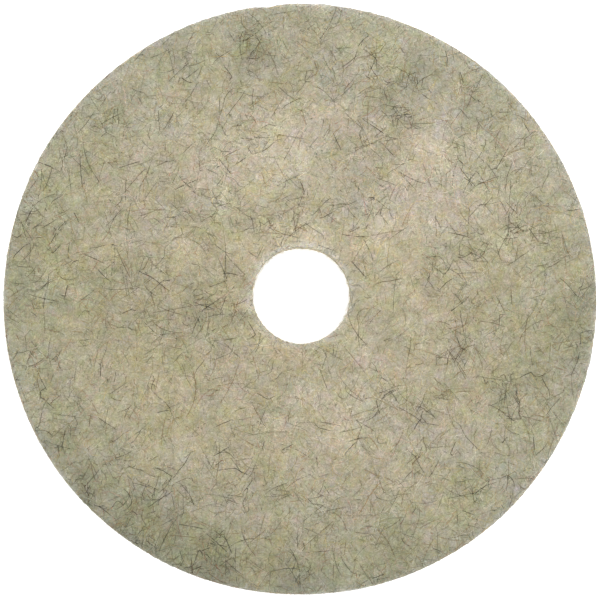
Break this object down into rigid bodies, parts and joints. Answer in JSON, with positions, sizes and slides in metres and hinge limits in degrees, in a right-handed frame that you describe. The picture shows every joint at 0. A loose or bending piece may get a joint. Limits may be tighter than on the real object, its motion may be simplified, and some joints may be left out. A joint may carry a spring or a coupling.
{
  "type": "felted hair polishing wheel",
  "caption": "Flat round polishing wheel of pale felted fibre web with dark natural hair carded through it, and a plain centre hole.",
  "frame": {"origin": "centre of the underside, on the wheel's axis, where the wheel lies on its back face", "axes": "+Z is the wheel's axis and points out of the polishing face; the wheel is round about it, so +X and +Y are any two square directions in the plane of the wheel"},
  "size_m": [0.508, 0.508, 0.0254],
  "materials": {
    "resin_set_web": "matte",
    "lofty_web": "matte",
    "dark_hair": "satin",
    "pale_fibre": "satin"
  },
  "bodies": {
    "root": {"back_ply": "resin_set_web", "lower_core_ply": "lofty_web", "upper_core_ply": "lofty_web", "face_ply": "resin_set_web"}
  },
  "joints": []
}
